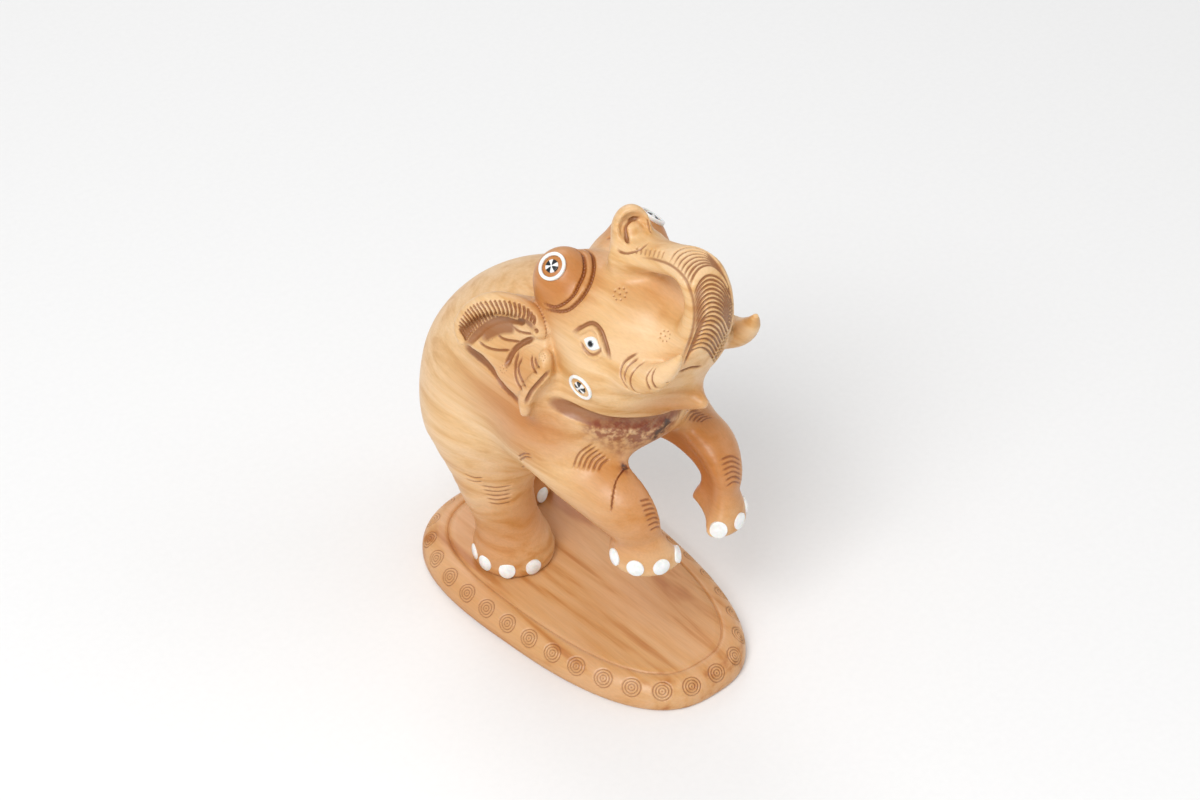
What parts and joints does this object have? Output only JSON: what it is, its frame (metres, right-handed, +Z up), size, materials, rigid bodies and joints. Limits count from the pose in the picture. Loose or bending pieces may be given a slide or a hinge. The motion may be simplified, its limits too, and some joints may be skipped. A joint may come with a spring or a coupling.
{
  "type": "carved elephant figurine",
  "caption": "Carved wooden elephant striding on its hind legs with its trunk curled back over its head, on an oval plinth, with white and black inlays.",
  "frame": {"origin": "centre of the plinth's underside", "axes": "+Z up, the elephant faces -Y, its left side is +X"},
  "size_m": [0.0808, 0.134, 0.1777],
  "materials": {
    "wood": "satin, light honey wood with darker carved lines",
    "white_inlay": "polished white bone-like inlay",
    "black_inlay": "polished black inlay"
  },
  "bodies": {
    "root": {"base": "wood", "elephant": "wood", "hind_right_nail_1": "white_inlay", "hind_right_nail_2": "white_inlay", "hind_right_nail_3": "white_inlay", "hind_right_nail_4": "white_inlay", "hind_left_nail_1": "white_inlay", "hind_left_nail_2": "white_inlay", "hind_left_nail_3": "white_inlay", "hind_left_nail_4": "white_inlay", "front_right_nail_1": "white_inlay", "front_right_nail_2": "white_inlay", "front_right_nail_3": "white_inlay", "front_right_nail_4": "white_inlay", "front_left_nail_1": "white_inlay", "front_left_nail_2": "white_inlay", "front_left_nail_3": "white_inlay", "front_left_nail_4": "white_inlay", "dome_right_ring": "white_inlay", "dome_left_ring": "white_inlay", "cheek_right_ring": "white_inlay", "cheek_left_ring": "white_inlay", "eye_right": "white_inlay", "eye_left": "white_inlay", "dome_right_flower": "black_inlay", "dome_left_flower": "black_inlay", "cheek_right_flower": "black_inlay", "cheek_left_flower": "black_inlay", "pupil_right": "black_inlay", "pupil_left": "black_inlay"}
  },
  "joints": []
}
